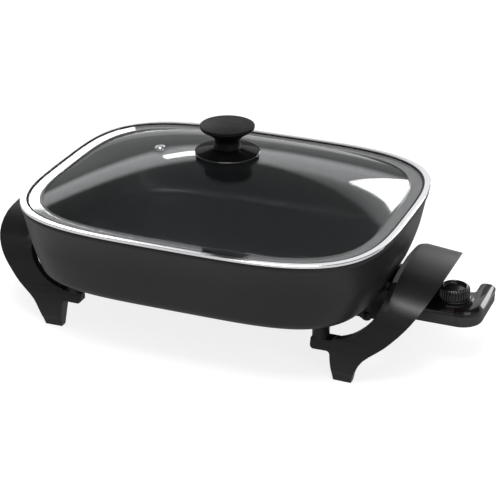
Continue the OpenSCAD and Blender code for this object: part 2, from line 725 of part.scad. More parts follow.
module control_cover() color([0.17, 0.17, 0.17]) difference() {
    union() {
        difference() {
            upper_form();
            hollow(split_z - 1, lid_top_z - shell);
        }
        for (p = control_posts) translate([p[0], p[1], split_z])
            cylinder(r = post_r, h = upper_high - 1);
        translate([dial_c, 0, split_z + 1]) cylinder(r = hub_r, h = upper_high - 1);
        translate([dial_c, 0, lid_top_z - 1]) cylinder(r = ring_r, h = 2 - SEAT + 1);
    }
    translate([dial_c, 0, split_z]) cylinder(r = shaft_r + FIT, h = 40);
    plug_space(FIT);
    cord_hole();
    lens_box(GLIDE);
    for (p = control_posts) translate([p[0], p[1], split_z - 1])
        cylinder(r = screw_small + FIT, h = 6.5);
}

module lens_box(c) translate([lens_x0 - c, -half_wid - 2, split_z + 0.8 - c])
    cube([lens_x1 - lens_x0 + 2 * c, lens_in + 2 + c, upper_high + 2]);

module indicator_lens() color([0.35, 0.05, 0.04]) intersection() {
    upper_form();
    lens_box(0);
}

module indicator_lamp() color([0.9, 0.6, 0.4]) translate([(lens_x0 + lens_x1) / 2 - 5,
    lens_in - half_wid + lamp_r + 0.3, split_z + 1.5]) rotate([0, 90, 0])
        cylinder(r = lamp_r, h = 10);
lamp_r = 2.3;

module control_screws() color([0.7, 0.7, 0.72]) for (p = control_posts)
    translate([p[0], p[1], low_z + 2.2]) {
        cylinder(r = screw_small, h = lower_high + 2.6);
        mirror([0, 0, 1]) pan_head(head_r, 1.6);
    }

module cord_gland() color([0.1, 0.1, 0.1]) translate([cord_x, tail_y, pin_z])
    rotate([-90, 0, 0]) rotate_extrude() polygon([[cord_r, -gland_in],
        [gland_r + 1, -gland_in], [gland_r + 1, -neck_in], [gland_r, -neck_in], [gland_r, 0.1],
        [gland_r + 1.5, 0.1], [gland_r + 1.5, 1.8], [gland_r + 0.5, 3.2], [cord_r, 3.2]]);

module plug_block() color([0.12, 0.12, 0.12]) difference() {
    translate([plug_x0, -plug_y, plug_low]) cube([plug_x1 - plug_x0, 2 * plug_y, plug_high]);
    for (y = [-pin_y, pin_y]) translate([plug_x0 - 1, y, pin_z]) rotate([0, 90, 0])
        cylinder(r = socket_r + FIT, h = plug_x1 - plug_x0 + 2);
    translate([plug_x0 - 1, 0, pin_z]) rotate([0, 90, 0])
        cylinder(r = probe_r + FIT, h = plug_x1 - plug_x0 + 2);
}
socket_r = 4;

module contact_sockets() color([0.8, 0.65, 0.35]) for (y = [-pin_y, pin_y])
    translate([plug_x0 + 1, y, pin_z]) rotate([0, 90, 0]) difference() {
        cylinder(r = socket_r, h = plug_x1 - plug_x0 - 1);
        translate([0, 0, -1]) cylinder(r = pin_r + FIT, h = plug_x1 - plug_x0 - 4);
    }

module probe_rod() color([0.75, 0.75, 0.77]) translate([probe_tip, 0, pin_z])
    rotate([0, 90, 0]) {
        sphere(r = probe_r);
        cylinder(r = probe_r, h = plug_x1 - probe_tip + 4);
        translate([0, 0, plug_x1 - probe_tip]) cylinder(r = probe_r + 2.5, h = 1.5);
    }

bracket_x = plug_x1 + 1.5;
module thermostat_bracket() color([0.65, 0.66, 0.68]) difference() {
    union() {
        translate([bracket_x, -11, low_z + shell]) cube([1.2, 22, lower_high + 2]);
        translate([bracket_x, -11, low_z + shell]) cube([22, 22, 1.2]);
    }
    translate([bracket_x - 1, 0, pin_z]) rotate([0, 90, 0]) cylinder(r = probe_r + GLIDE, h = 4);
}

module switch_blades() color([0.8, 0.6, 0.35]) for (i = [0, 1])
    translate([bracket_x + 4, i * 7 - 6, low_z + shell + 1.2]) {
        cube([5, 5, 2.2 + 2 * i]);
        translate([0, 0, 2.2 + 2 * i]) cube([26, 5, 0.6]);
        translate([23, 2.5, 2.2 + 2 * i]) cylinder(r = 1.8, h = 1.4);
    }

module dial_shaft() color([0.7, 0.7, 0.72]) translate([dial_c, 0, split_z - 4])
    cylinder(r = shaft_r, h = dial_z + dial_high * 0.6 - split_z + 4);

rib_reach = 4.4;    // grip ribs of the dial
rib_thick = 1.3;

module control_dial() color([0.1, 0.1, 0.1]) translate([dial_c, 0, dial_z]) difference() {
    union() {
        rotate_extrude() polygon([[0, 0], [dial_r - 0.4, 0], [dial_r, 0.6], [dial_r, 2.2],
            [dial_r - 1, 2.8], [dial_r - 2.6, dial_high - 1.2], [dial_r - 3.4, dial_high],
            [dial_r - 4.6, dial_high], [dial_r - 5.4, dial_high - 0.9], [0, dial_high - 0.9]]);
        for (i = [0 : dial_ribs - 1]) rotate(360 * i / dial_ribs)
            translate([dial_r - 4, 0, 1]) rotate([0, -7.5, 0])
                cube([rib_reach, rib_thick, dial_high - 3]);
    }
    translate([0, 0, -1]) cylinder(r = shaft_r + FIT, h = dial_high * 0.6 + 1);
}

pan();
heating_element();
terminal_pins();
pin_insulators();
terminal_guard();
guard_screws();
right_handle();
left_handle();
right_handle_screws();
left_handle_screws();
right_handle_washers();
left_handle_washers();
lid_ring();
lid_glass();
steam_vent();
knob_gasket();
knob_skirt();
lid_knob();
knob_washer();
knob_screw();
plug_block();
contact_sockets();
probe_rod();
thermostat_bracket();
switch_blades();
control_base();
control_cover();
control_screws();
indicator_lens();
indicator_lamp();
cord_gland();
dial_shaft();
control_dial();
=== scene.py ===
import json
import math
import bmesh
import bpy
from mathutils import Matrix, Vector


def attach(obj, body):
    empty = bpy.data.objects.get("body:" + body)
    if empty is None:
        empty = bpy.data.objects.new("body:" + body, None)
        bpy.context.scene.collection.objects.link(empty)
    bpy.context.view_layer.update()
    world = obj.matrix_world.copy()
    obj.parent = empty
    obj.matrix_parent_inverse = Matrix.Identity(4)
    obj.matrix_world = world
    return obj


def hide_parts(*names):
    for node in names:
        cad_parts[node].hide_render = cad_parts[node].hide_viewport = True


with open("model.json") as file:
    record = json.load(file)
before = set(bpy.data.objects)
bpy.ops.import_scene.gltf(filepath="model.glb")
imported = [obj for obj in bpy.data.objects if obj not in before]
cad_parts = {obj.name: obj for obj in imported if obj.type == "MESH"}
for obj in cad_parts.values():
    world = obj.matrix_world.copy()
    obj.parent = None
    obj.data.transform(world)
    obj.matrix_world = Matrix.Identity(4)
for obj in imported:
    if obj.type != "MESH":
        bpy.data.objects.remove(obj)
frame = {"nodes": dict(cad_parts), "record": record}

MM = 0.001
scene = bpy.context.scene
scene.view_settings.view_transform = "Standard"
cad = frame["nodes"]
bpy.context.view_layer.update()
bpy.ops.object.select_all(action="DESELECT")

# ---- measures of the skillet, in mm, as in the solids ----

RIM_X, RIM_Y, RIM_Z = 200.0, 161.5, 145.0   # half length, half width and height of the rim
RIM_SQUARE = 3.75                           # exponent of the rim's rounded rectangle
RIM_IN = 1.1                                # the pan's edge stands in from the ring's edge
PAN_DEPTH, PAN_WALL = 79.0, 3.0
GRIP_BEVEL_X, GRIP_BEVEL_Y = 195.5, 50.0    # a grip's bevel lies past this x, within this y
GRIP_BEVEL_TILT = 11.0                      # degrees

RING_WIDE, RING_HIGH = 6.8, 4.0
BORDER_WIDE = 13.0                          # flat border of the glass
GLASS_THICK, LID_RISE = 4.0, 42.0
CROWN = 0.1                                 # share of the dome that is flat under the knob
GLASS_TOP = RING_HIGH - 1.2
LIP_IN = RIM_IN + PAN_WALL + 0.6            # outer face of the lip that drops into the pan
GLASS_EDGE = LIP_IN + 0.8
DOME_IN = RING_WIDE + BORDER_WIDE
CROWN_Z = RIM_Z + LID_RISE
VENT_X = 77.0
VENT_NECK_R, VENT_BORE_R = 2.8, 2.0

GASKET_THICK = 1.2
SKIRT_R, SKIRT_HIGH = 34.0, 6.4
STEM_R = 15.0
KNOB_R, KNOB_HIGH = 28.4, 31.3

PIN_Z = 55.5                                # the two pins of the heating element
SPLIT_Z = PIN_Z + 2.2                       # joint between the heat control's shells
COVER_TOP = SPLIT_Z + 6.8
COVER_BEVEL_X, COVER_BEVEL_DEEP = 274.0, 1.5
DIAL_X, DIAL_R, DIAL_HIGH = 249.0, 16.5, 13.4
DIAL_RIBS = 32
DIAL_Z = COVER_TOP + 2.0


# ---- camera, floor and light ----

CAMERA_PLACE = (0.63648, -1.52082, 0.8583)  # metres
LOOKS_DOWN, LOOKS_LEFT = 25.40, 21.90       # degrees
FILM_WIDE, FOCAL_LENGTH = 36, 123.49        # mm

bpy.ops.object.camera_add(location=CAMERA_PLACE, rotation=(
    math.radians(90 - LOOKS_DOWN), 0, math.radians(LOOKS_LEFT)))
camera = bpy.context.object
camera.name = "studio_camera"
camera.data.sensor_width = FILM_WIDE
camera.data.lens = FOCAL_LENGTH
camera.data.clip_start = 0.02
scene.camera = camera


def rgba(code):
    """sRGB hex to the linear colour that the shaders take"""
    parts = [int(code[i:i + 2], 16) / 255 for i in (1, 3, 5)]
    linear = [c / 12.92 if c <= 0.04045 else ((c + 0.055) / 1.055) ** 2.4 for c in parts]
    return (*linear, 1)


def add(tree, kind, links=None, **settings):
    """One shader node: settings are its own, links fill its inputs with values or outputs"""
    n = tree.nodes.new(kind)
    for key, value in settings.items():
        setattr(n, key, value)
    for key, value in (links or {}).items():
        if isinstance(value, bpy.types.NodeSocket):
            tree.links.new(value, n.inputs[key])
        else:
            n.inputs[key].default_value = value
    return n


def new_material(name):
    m = bpy.data.materials.new(name)
    m.use_nodes = True
    m.node_tree.nodes.clear()
    return m, m.node_tree


def finish_material(tree, shader, height=None, deep_mm=0.0, strength=1.0):
    """Joins the shader to the output, with a relief deep_mm deep where it has one"""
    if height is not None:
        bump = add(tree, "ShaderNodeBump", {"Height": height, "Distance": deep_mm * MM,
                                            "Strength": strength})
        tree.links.new(bump.outputs["Normal"], shader.inputs["Normal"])
    out = add(tree, "ShaderNodeOutputMaterial")
    tree.links.new(shader.outputs[0], out.inputs["Surface"])


def grain(tree, size_mm, detail=2.0, rough=0.5):
    """Noise whose features are about size_mm across, in the piece's own coordinates"""
    place = add(tree, "ShaderNodeTexCoord")
    return add(tree, "ShaderNodeTexNoise", {"Vector": place.outputs["Object"],
                                            "Scale": 1 / (size_mm * MM), "Detail": detail,
                                            "Roughness": rough})


def spread(tree, value, low, high):
    """Noise value stretched to the range from low to high"""
    return add(tree, "ShaderNodeMapRange", {"Value": value, "From Min": 0.3, "From Max": 0.7,
                                            "To Min": low, "To Max": high}).outputs["Result"]


def two_tone(tree, value, dark, light):
    """Colour between two hex values, by a noise value"""
    ramp = add(tree, "ShaderNodeValToRGB", {"Fac": value})
    ramp.color_ramp.elements[0].position = 0.35
    ramp.color_ramp.elements[0].color = rgba(dark)
    ramp.color_ramp.elements[1].position = 0.65
    ramp.color_ramp.elements[1].color = rgba(light)
    return ramp.outputs["Color"]


# ---- studio ----

# the backdrop's light, by the sine of the height over the horizon
BACKDROP = ((0.19, 0.2), (0.28, 1.0), (0.46, 1.0), (0.51, 0.12))
FRONT_GREY = 0.35                       # the room in front, as a gloss shows it
ROUND_LIGHT = 0.55                      # what falls on dull surfaces from all sides
PAPER_GREY, PAPER_GLOW = 0.34, 0.8      # the floor's colour, and the light that whitens it
NEAR_GLOSS, FAR_GLOSS = 0.4, 0.1        # share of that light in a gloss, in front and behind


def straight(tree, ray):
    """1 for a ray that comes straight to the camera, or through glass and off nothing else"""
    bounces = add(tree, "ShaderNodeMath", {0: ray.outputs["Glossy Depth"],
                                           1: ray.outputs["Diffuse Depth"]})
    none = add(tree, "ShaderNodeMath", {0: bounces.outputs[0], 1: 0.5}, operation="LESS_THAN")
    through = add(tree, "ShaderNodeMath", {0: ray.outputs["Is Transmission Ray"],
                                           1: none.outputs[0]}, operation="MULTIPLY")
    return add(tree, "ShaderNodeMath", {0: ray.outputs["Is Camera Ray"],
                                        1: through.outputs[0]}, operation="MAXIMUM")


def mirrored(tree, ray):
    """1 for a ray off a gloss or through glass"""
    return add(tree, "ShaderNodeMath", {0: ray.outputs["Is Glossy Ray"],
                                        1: ray.outputs["Is Transmission Ray"]},
               operation="MAXIMUM")


def studio():
    """White paper floor in a room that is grey in front and has a pale backdrop behind: its
    foot is dim, a lit band runs over that from 16 to 27 degrees, and the ceiling is dark. This
    room shows in a gloss. Straight to the camera, and through glass alone, all of it is
    white."""
    world = bpy.data.worlds.new("studio")
    scene.world = world
    world.use_nodes = True
    tree = world.node_tree
    tree.nodes.clear()
    ray = add(tree, "ShaderNodeLightPath")
    way = add(tree, "ShaderNodeTexCoord")
    way = add(tree, "ShaderNodeSeparateXYZ", {0: way.outputs["Generated"]})
    band = add(tree, "ShaderNodeValToRGB", {"Fac": way.outputs["Z"]})
    stops = band.color_ramp.elements
    while len(stops) < len(BACKDROP):
        stops.new(0.5)
    for stop, (height, light) in zip(stops, BACKDROP):
        stop.position = height
        stop.color = (light * 0.985, light * 0.985, light, 1)
    front = add(tree, "ShaderNodeMapRange", {"Value": way.outputs["Y"], "From Min": -0.3,
                                             "From Max": 0.0, "To Min": 1.0, "To Max": 0.0})
    soft = add(tree, "ShaderNodeBackground", {"Color": (1, 1, 1, 1),
                                              "Strength": ROUND_LIGHT})
    room = add(tree, "ShaderNodeMixRGB", {"Fac": front.outputs["Result"],
                                          "Color1": band.outputs["Color"],
                                          "Color2": (FRONT_GREY, FRONT_GREY, FRONT_GREY, 1)})
    room = add(tree, "ShaderNodeBackground", {"Color": room.outputs["Color"], "Strength": 1.0})
    white = add(tree, "ShaderNodeBackground", {"Color": (1, 1, 1, 1), "Strength": 1.0})
    mix = add(tree, "ShaderNodeMixShader", {0: mirrored(tree, ray).outputs[0],
                                            1: soft.outputs[0], 2: room.outputs[0]})
    mix = add(tree, "ShaderNodeMixShader", {0: straight(tree, ray).outputs[0],
                                            1: mix.outputs[0], 2: white.outputs[0]})
    out = add(tree, "ShaderNodeOutputWorld")
    tree.links.new(mix.outputs[0], out.inputs["Surface"])

    bpy.ops.mesh.primitive_plane_add(size=8, location=(0, 0, -0.0002))
    floor = bpy.context.object
    floor.name = "studio_floor"
    m, tree = new_material("white_paper_sweep")
    ray = add(tree, "ShaderNodeLightPath")
    place = add(tree, "ShaderNodeTexCoord")
    place = add(tree, "ShaderNodeSeparateXYZ", {0: place.outputs["Object"]})
    front = add(tree, "ShaderNodeMapRange", {
        "Value": place.outputs["Y"], "From Min": -0.1, "From Max": 0.2,
        "To Min": NEAR_GLOSS, "To Max": FAR_GLOSS})
    pale = add(tree, "ShaderNodeMath", {0: mirrored(tree, ray).outputs[0],
                                        1: front.outputs["Result"]}, operation="MULTIPLY")
    seen = add(tree, "ShaderNodeMath", {0: straight(tree, ray).outputs[0],
                                        1: pale.outputs[0]}, operation="MAXIMUM")
    paper = add(tree, "ShaderNodeBsdfDiffuse", {
        "Color": (PAPER_GREY, PAPER_GREY, PAPER_GREY, 1)})
    white = add(tree, "ShaderNodeEmission", {
        "Color": (PAPER_GLOW, PAPER_GLOW, PAPER_GLOW, 1), "Strength": seen.outputs[0]})
    both = add(tree, "ShaderNodeAddShader", {0: paper.outputs[0], 1: white.outputs[0]})
    finish_material(tree, both)
    floor.data.materials.append(m)


def soft_box(name, place, aim, size, watts):
    """Square lamp that faces from place to aim, in metres, behind a cloth of that size"""
    bpy.ops.object.light_add(type="AREA", location=place)
    lamp = bpy.context.object
    lamp.name = name
    lamp.data.shape = "RECTANGLE"
    lamp.data.size, lamp.data.size_y = size
    lamp.data.energy = watts
    lamp.rotation_euler = (Vector(aim) - Vector(place)).to_track_quat("-Z", "Y").to_euler()


studio()
soft_box("overhead_soft_box", (0.12, -0.7, 1.9), (0, 0, 0.1), (1.0, 0.8), 21)
soft_box("fill_soft_box", (1.4, -1.2, 0.8), (0.1, 0, 0.08), (0.9, 0.9), 5)
soft_box("right_rim_box", (1.12, 1.66, 0.53), (0.27, 0.02, 0.06), (0.5, 0.4), 4)
soft_box("back_soft_box", (0.29, 1.86, 0.67), (0.15, 0.08, 0.16), (0.42, 0.85), 6.2)
soft_box("left_rim_box", (-1.91, 3.27, 1.685), (-0.19, 0, 0.15), (0.38, 0.27), 2.2)


# ---- finishes ----

def coated_aluminium(name, dark, light, rough, level):
    """Die-cast aluminium under a sprayed dark non-stick coat: even satin, with an orange-peel
    relief 0.6 mm across, drawn a little coarser than it is so that it shows, and a mottle
    60 mm across from the spraying"""
    m, t = new_material(name)
    fine = grain(t, 0.6, 3)
    wide = grain(t, 60, 2)
    s = add(t, "ShaderNodeBsdfPrincipled", {
        "Base Color": two_tone(t, wide.outputs[0], dark, light),
        "Roughness": spread(t, fine.outputs[0], rough - 0.03, rough + 0.04), "IOR": 1.45,
        "Specular IOR Level": level})
    finish_material(t, s, fine.outputs[0], 0.01, 0.5)
    return m


def moulded_plastic(name, dark, light, rough, peel_mm, level, ior=1.5):
    """Moulded plastic: a faint flow mottle 14 mm across in the colour, and a skin with relief
    peel_mm across, which is wide and shallow on a polished mould and fine on an etched one"""
    m, t = new_material(name)
    fine = grain(t, peel_mm, 2)
    wide = grain(t, 14, 3)
    s = add(t, "ShaderNodeBsdfPrincipled", {
        "Base Color": two_tone(t, wide.outputs[0], dark, light),
        "Roughness": spread(t, fine.outputs[0], rough * 0.9, rough * 1.12), "IOR": ior,
        "Specular IOR Level": level})
    finish_material(t, s, fine.outputs[0], 0.01, 0.5)
    return m


def polished_metal(name, dark, light, rough):
    """Polished or plated metal: bright, with a fine grain from the polishing, 0.35 mm across,
    which is coarser than the real one so that it shows"""
    m, t = new_material(name)
    lines = grain(t, 0.35, 4, 0.7)
    s = add(t, "ShaderNodeBsdfPrincipled", {
        "Base Color": two_tone(t, lines.outputs[0], dark, light), "Metallic": 1.0,
        "Roughness": spread(t, lines.outputs[0], rough * 0.7, rough * 1.3)})
    finish_material(t, s, lines.outputs[0], 0.004, 0.4)
    return m


def clear_glass():
    """Pressed and tempered soda-lime glass: clear, a breath of green, and waves 28 mm long
    that only a reflection shows"""
    m, t = new_material("tempered_soda_lime_glass")
    wave = grain(t, 28, 1)
    s = add(t, "ShaderNodeBsdfPrincipled", {
        "Base Color": rgba("#f6faf9"), "Roughness": 0.02, "IOR": 1.5,
        "Transmission Weight": 1.0})
    finish_material(t, s, wave.outputs[0], 0.1, 0.15)
    return m


# charcoal coat outside the pan; a shade paler and smoother where the food lies
coat = coated_aluminium("nonstick_coated_aluminium", "#222222", "#252525", 0.4, 0.35)
coat_inside = coated_aluminium("nonstick_cooking_surface", "#2b2c2f", "#2f3033", 0.36, 0.35)
# deep black satin mouldings that stand heat; the grips' flat inner bevel is painted much
# lighter, a painted sheen
handle_black = moulded_plastic("satin_moulded_phenolic", "#0c0c0c", "#0f0f0f", 0.36, 0.5, 0.42)
bevel_painted_sheen = moulded_plastic("phenolic_bevel_painted_sheen", "#505050", "#565656", 0.5, 0.5, 0.5)
# the knob is silky, its skirt nearly a mirror, and the skirt's bead a bright line
knob_black = moulded_plastic("satin_phenolic", "#0e0e0e", "#111111", 0.34, 6, 0.09)
skirt_black = moulded_plastic("polished_phenolic", "#0a0a0a", "#0d0d0d", 0.08, 6, 0.06)
bead_black = moulded_plastic("buffed_phenolic", "#101010", "#141414", 0.05, 6, 1.0)
# the heat control: a dull grey tub, a glossy cover, and a dial with a softer gloss
base_grey = moulded_plastic("etched_polycarbonate", "#303030", "#353535", 0.5, 0.5, 0.4)
cover_black = moulded_plastic("gloss_abs", "#101010", "#131313", 0.1, 8, 0.4)
dial_black = moulded_plastic("gloss_nylon", "#161616", "#1a1a1a", 0.16, 3, 0.5)
# dull rubber, unglazed ceramic, soft white silicone, black painted shade for the lid band's
# edges, and a dark red lens
rubber = moulded_plastic("gland_rubber", "#1a1a1a", "#202020", 0.7, 0.5, 0.3)
ceramic = moulded_plastic("white_steatite", "#9c9993", "#a8a59f", 0.6, 0.4, 0.5)
silicone = moulded_plastic("white_silicone", "#d0d0ce", "#d8d8d6", 0.55, 0.8, 0.4, 1.41)
band_edge_painted_shade = moulded_plastic("band_edges_painted_shade", "#060606", "#090909", 0.4, 1, 0.2)
smoked_lens = moulded_plastic("smoked_red_acrylic", "#0a0303", "#0e0404", 0.08, 5, 0.3, 1.49)
# metals, from the bright band of the lid to the tinted tube of the heating element
ring_steel = polished_metal("polished_stainless_steel", "#e6e6e8", "#fafafc", 0.17)
screw_steel = polished_metal("zinc_plated_steel", "#b9bbbf", "#d8dadd", 0.28)
dark_steel = polished_metal("blackened_steel", "#2c2c2e", "#3a3a3c", 0.35)
element_steel = polished_metal("heat_tinted_steel", "#7a746f", "#9a938c", 0.35)
brass = polished_metal("spring_brass", "#c39a4c", "#dcb868", 0.25)
glass = clear_glass()

# ---- tools for the pieces ----

def skin(name, loops, m, closed=False):
    """A circle primitive set to the first loop of points, in mm, and extruded edge by edge to
    each next one. The last loop of a closed skin lies on its first, and joins it. Any other
    skin has its two ends filled."""
    bpy.ops.mesh.primitive_circle_add(vertices=len(loops[0]), radius=0.01)
    o = bpy.context.object
    o.name = name
    bpy.ops.object.mode_set(mode="EDIT")
    bpy.ops.mesh.select_mode(type="EDGE")
    bm = bmesh.from_edit_mesh(o.data)
    place = bm.verts.layers.int.new("place")
    for i, v in enumerate(bm.verts):
        v[place] = i
    for k, loop in enumerate(loops):
        if k:
            bpy.ops.mesh.extrude_edges_move()
            bm = bmesh.from_edit_mesh(o.data)
            place = bm.verts.layers.int["place"]
        for v in bm.verts:
            if v.select:
                v.co = Vector(loop[v[place]]) * MM
        bmesh.update_edit_mesh(o.data)
    bpy.ops.mesh.select_all(action="SELECT")
    bpy.ops.mesh.remove_doubles(threshold=0.000001)
    if not closed:
        bpy.ops.mesh.fill_holes(sides=0)
    bpy.ops.mesh.normals_make_consistent(inside=False)
    bpy.ops.object.mode_set(mode="OBJECT")
    return settle(o, m)


def settle(o, m, angle=40):
    """Applies the object's place to its mesh, shades it and gives it its material"""
    bpy.ops.object.select_all(action="DESELECT")
    o.select_set(True)
    bpy.context.view_layer.objects.active = o
    bpy.ops.object.transform_apply(location=True, rotation=True, scale=True)
    bpy.ops.object.shade_smooth_by_angle(angle=math.radians(angle))
    o.data.materials.clear()
    o.data.materials.append(m)
    return o


def worked(o, kind, **settings):
    """Adds a modifier and applies it"""
    bpy.context.view_layer.objects.active = o
    mod = o.modifiers.new(kind.lower(), kind)
    for key, value in settings.items():
        setattr(mod, key, value)
    bpy.ops.object.modifier_apply(modifier=mod.name)


def patch(o, m, chosen):
    """Gives m to the faces for which chosen, of a face's centre in mm and its normal, is true"""
    o.data.materials.append(m)
    for face in o.data.polygons:
        if chosen(face.center / MM, face.normal):
            face.material_index = 1


def one_bevel(o, z, x):
    """Takes away the level edges at height z to the right of x, so that the faces over and
    under them become one flat bevel"""
    bpy.ops.mesh.select_all(action="DESELECT")
    bpy.ops.mesh.select_mode(type="EDGE")
    bm = bmesh.from_edit_mesh(o.data)
    for e in bm.edges:
        if all(abs(v.co.z / MM - z) < 0.02 and v.co.x > x * MM for v in e.verts) \
                and len(e.link_faces) == 2 \
                and all(0.3 < f.normal.z < 0.95 for f in e.link_faces):
            e.select_set(True)
    bmesh.update_edit_mesh(o.data)
    bpy.ops.mesh.dissolve_edges(use_verts=True)
    bpy.ops.mesh.select_mode(type="VERT")


def dressed(name, node, edge_mm, m, crease):
    """A solid's surface as one clean mesh, its sharp edges eased by edge_mm. Faces that meet at
    less than crease degrees shade as one."""
    o = bpy.data.objects.new(name, cad[node].data.copy())
    scene.collection.objects.link(o)
    bpy.ops.object.select_all(action="DESELECT")
    o.select_set(True)
    bpy.context.view_layer.objects.active = o
    bpy.ops.object.mode_set(mode="EDIT")
    bpy.ops.mesh.select_all(action="SELECT")
    bpy.ops.mesh.remove_doubles(threshold=0.00001)
    if edge_mm:
        bpy.ops.mesh.dissolve_limited(angle_limit=math.radians(0.4))
    if node == "control_cover":
        one_bevel(o, COVER_TOP - COVER_BEVEL_DEEP, COVER_BEVEL_X)
    bpy.ops.object.mode_set(mode="OBJECT")
    if edge_mm:
        worked(o, "BEVEL", width=edge_mm * MM, segments=3, limit_method="ANGLE",
               angle_limit=math.radians(36), use_clamp_overlap=True)
    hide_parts(node)
    return settle(o, m, crease)


def ring(r, z, n=128):
    """Loop of n points round the vertical in the middle"""
    return [(r * math.cos(2 * math.pi * i / n), r * math.sin(2 * math.pi * i / n), z)
            for i in range(n)]


def curve(points, steps):
    """Smooth line through the points, in steps from each to the next"""
    out = []
    last = len(points) - 1
    for i in range(last):
        a, b = Vector(points[i]), Vector(points[i + 1])
        ta = (b - Vector(points[max(i - 1, 0)])) / (1 if i == 0 else 2)
        tb = (Vector(points[min(i + 2, last)]) - a) / (1 if i == last - 1 else 2)
        for j in range(steps):
            t = j / steps
            out.append(tuple((2 * t ** 3 - 3 * t ** 2 + 1) * a + (t ** 3 - 2 * t ** 2 + t) * ta
                             + (3 * t ** 2 - 2 * t ** 3) * b + (t ** 3 - t ** 2) * tb))
    return out + [tuple(points[-1])]


def squircle(a, b, n, z, count=256):
    """Rounded rectangle a by b half sizes with exponent n; its points bunch at the corners"""
    out = []
    for i in range(count):
        c, s = math.cos(2 * math.pi * i / count), math.sin(2 * math.pi * i / count)
        out.append((a * math.copysign(abs(c) ** (2 / n), c),
                    b * math.copysign(abs(s) ** (2 / n), s), z))
    return out


def rim_loop(d, z):
    """The rim's outline, set in by d, at height z above the rim"""
    return squircle(RIM_X - d, RIM_Y - d, RIM_SQUARE, RIM_Z + z)


# ---- lid ----

def dome_z(s):
    """Height of the glass over the rim at share s of the way from the knob to the border"""
    return GLASS_TOP + (LID_RISE - GLASS_TOP) * (1 - s * s) / (1 - CROWN * CROWN)


def dome_loop(s, d):
    """The dome's outline at share s, sunk by d: round at the knob, squarer at the border"""
    n = 2 + (RIM_SQUARE - 2) * s * s
    return squircle((RIM_X - DOME_IN) * s, (RIM_Y - DOME_IN) * s, n, RIM_Z + dome_z(s) - d)


def make_lid():
    """Pressed glass, as one closed skin from the underside to the top, in a rolled band"""
    shares = [0.02 + 0.97 * k / 30 for k in range(31)] + [0.996]
    border = [(DOME_IN - 0.4, 0.12), (DOME_IN - 1.2, 0.03), (DOME_IN - 2, 0), (DOME_IN - 2.6, 0),
              (GLASS_EDGE + 1.5, 0), (GLASS_EDGE + 0.9, 0), (GLASS_EDGE + 0.2, -0.15),
              (GLASS_EDGE, -0.6)]
    glass_low = GLASS_TOP - GLASS_THICK
    over = ([rim_loop(d, GLASS_TOP + z) for d, z in reversed(border)]
            + [dome_loop(s, 0) for s in reversed(shares)])
    under = ([dome_loop(s, GLASS_THICK) for s in shares]
             + [rim_loop(d, glass_low + z) for d, z in border[:6]]
             + [rim_loop(GLASS_EDGE, glass_low + 0.6)])
    pane = skin("glass_dome", under + over, closed=True, m=glass)
    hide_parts("lid_glass")
    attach(pane, "lid")

    w, h = RING_WIDE, RING_HIGH
    side = [(0.6, 0.0), (0.25, 0.2), (0.2, 1.1), (0.0, 1.35), (0.0, h - 0.5)]
    top = curve([(0.5, h), (3.3, h - 0.15), (4.7, h - 0.27), (w - 0.7, h - 0.42),
                 (w - 0.15, h - 0.65), (w + 0.5, h - 0.85), (w + 1.3, GLASS_TOP + 0.12)], 3)
    seat = [(w + 1.3, GLASS_TOP + 0.08), (GLASS_EDGE - 0.2, GLASS_TOP + 0.08),
            (GLASS_EDGE - 0.2, glass_low - 0.1), (w + 1.4, glass_low - 0.1)]
    lip = [(w + 1.4, glass_low - 0.9), (RIM_IN + 3.6, glass_low - 0.9), (RIM_IN + 3.6, 0.0),
           (0.6, 0.0)]
    band = skin("rolled_steel_band", [rim_loop(d, z) for d, z in side + top + seat + lip],
                closed=True, m=ring_steel)

    def painted_shade_faces(c, out):
        """Faces painted black as shade: the band's inner edge against the glass, and the
        undercut low in the band's side with the lip below it
        """
        reach = ((abs(c.x) / (RIM_X - w + 1.1)) ** RIM_SQUARE
                 + (abs(c.y) / (RIM_Y - w + 1.1)) ** RIM_SQUARE)
        return reach < 1 and c.z > RIM_Z + GLASS_TOP - 0.2 or c.z < RIM_Z + 1.2

    # the steel band's inner edge and its low edges are painted black: painted shade lines
    patch(band, band_edge_painted_shade, painted_shade_faces)
    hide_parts("lid_ring")
    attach(band, "lid")


def make_knob():
    """Waisted knob on a flared skirt, both turned round the screw's hole"""
    skirt_z = CROWN_Z + GASKET_THICK
    knob_z = skirt_z + SKIRT_HIGH
    top_z = CROWN_Z + KNOB_HIGH + GASKET_THICK
    hub, bead, r = 2.7, 0.9, SKIRT_R
    side = curve([(r - 2, 2.3), (r - 9, 4.0), (18.0, 5.6), (STEM_R, SKIRT_HIGH)], 6)
    lip = [(r - bead + bead * math.cos(math.radians(a)), bead + bead * math.sin(math.radians(a)))
           for a in range(-90, 61, 15)]
    profile = ([(hub, 0), (14, 0), (16, 1.8), (r - 2.6, 0.6), (r - 1.6, 0)] + lip + side
               + [(hub, SKIRT_HIGH), (hub, 0)])
    flare = skin("flared_skirt", [ring(a, skirt_z + b) for a, b in profile], closed=True,
                 m=skirt_black)
    patch(flare, bead_black, lambda c, out: math.hypot(c.x, c.y) > r - 1.2)
    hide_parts("knob_skirt")
    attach(flare, "lid")

    k, span = KNOB_R, top_z - knob_z
    hole, hole_deep = 2.6, 14
    cap_high, waist_high = 3.4, 21.2
    rise = (span - cap_high) / waist_high
    waist = curve([(STEM_R, 0), (13.2, 3.6), (13.8, 9), (18.4, 13.6), (k * 0.86, 17.6),
                   (k * 0.975, 19.6), (k, waist_high)], 6)
    cap = curve([(k, span - cap_high), (k * 0.992, span - 2.2), (k * 0.96, span - 1.4),
                 (k * 0.6, span - 0.55), (k * 0.3, span - 0.12), (0.01, span)], 5)
    grip = skin("turned_knob", [ring(hole, knob_z + hole_deep), ring(hole, knob_z)]
                + [ring(a, knob_z + b * rise) for a, b in waist]
                + [ring(a, knob_z + b) for a, b in cap[1:]], m=knob_black)
    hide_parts("lid_knob")
    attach(grip, "lid")


